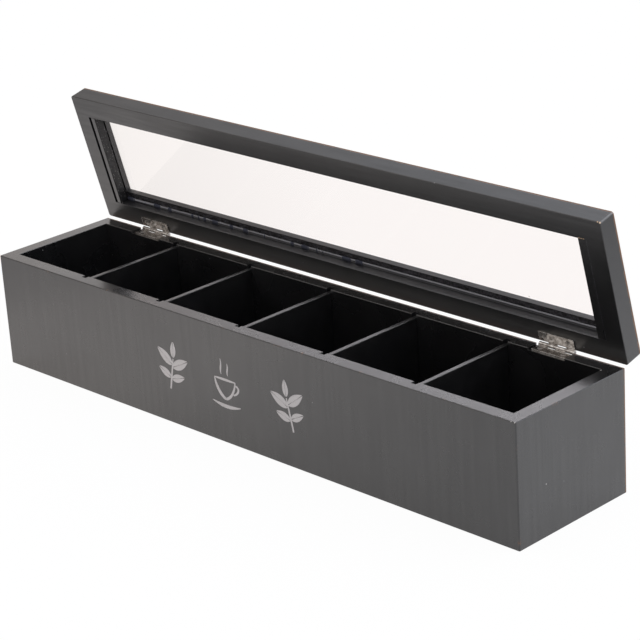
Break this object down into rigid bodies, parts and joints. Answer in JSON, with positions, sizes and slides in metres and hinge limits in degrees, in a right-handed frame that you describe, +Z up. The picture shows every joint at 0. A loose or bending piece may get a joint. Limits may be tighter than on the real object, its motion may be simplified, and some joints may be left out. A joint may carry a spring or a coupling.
{
  "type": "tea bag organizer box",
  "caption": "Long lacquered wooden tea box with a row of divided compartments and a glazed lid on small butt hinges.",
  "frame": {"origin": "centre of the box's underside", "axes": "+X along the length, -Y out of the front face, +Z up"},
  "size_m": [0.4312, 0.1032, 0.1644],
  "materials": {
    "lacquered_mdf": "black satin lacquer on MDF",
    "lacquered_hardboard": "thin board, black matt lacquer",
    "beech": "bare turned wood",
    "clear_glass": "clear float glass",
    "black_sealant": "glossy cured sealant",
    "hinge_steel": "stamped steel, dull nickel plate",
    "screw_steel": "bright zinc plate",
    "brad_steel": "bare drawn steel"
  },
  "bodies": {
    "box": {"front_wall": "lacquered_mdf", "back_wall": "lacquered_mdf", "left_end_wall": "lacquered_mdf", "right_end_wall": "lacquered_mdf", "bottom_panel": "lacquered_hardboard", "bottom_brads": "brad_steel", "corner_dowels": "beech", "divider_1": "lacquered_hardboard", "divider_2": "lacquered_hardboard", "divider_3": "lacquered_hardboard", "divider_4": "lacquered_hardboard", "divider_5": "lacquered_hardboard", "left_hinge_box_leaf": "hinge_steel", "right_hinge_box_leaf": "hinge_steel", "left_hinge_pin": "hinge_steel", "right_hinge_pin": "hinge_steel", "box_leaf_screws": "screw_steel"},
    "lid": {"lid_front_rail": "lacquered_mdf", "lid_back_rail": "lacquered_mdf", "lid_left_stile": "lacquered_mdf", "lid_right_stile": "lacquered_mdf", "lid_corner_dowels": "beech", "glass_pane": "clear_glass", "left_glass_bead": "lacquered_mdf", "right_glass_bead": "lacquered_mdf", "glass_sealant": "black_sealant", "left_hinge_lid_leaf": "hinge_steel", "right_hinge_lid_leaf": "hinge_steel", "lid_leaf_screws": "screw_steel"}
  },
  "joints": [
    {"name": "lid_hinge", "type": "hinge", "parent": "box", "child": "lid", "pos_m": [0, 0.0459, 0.0732], "axis": [-1, 0, 0], "range_deg": [-75.9, 104.1]}
  ]
}
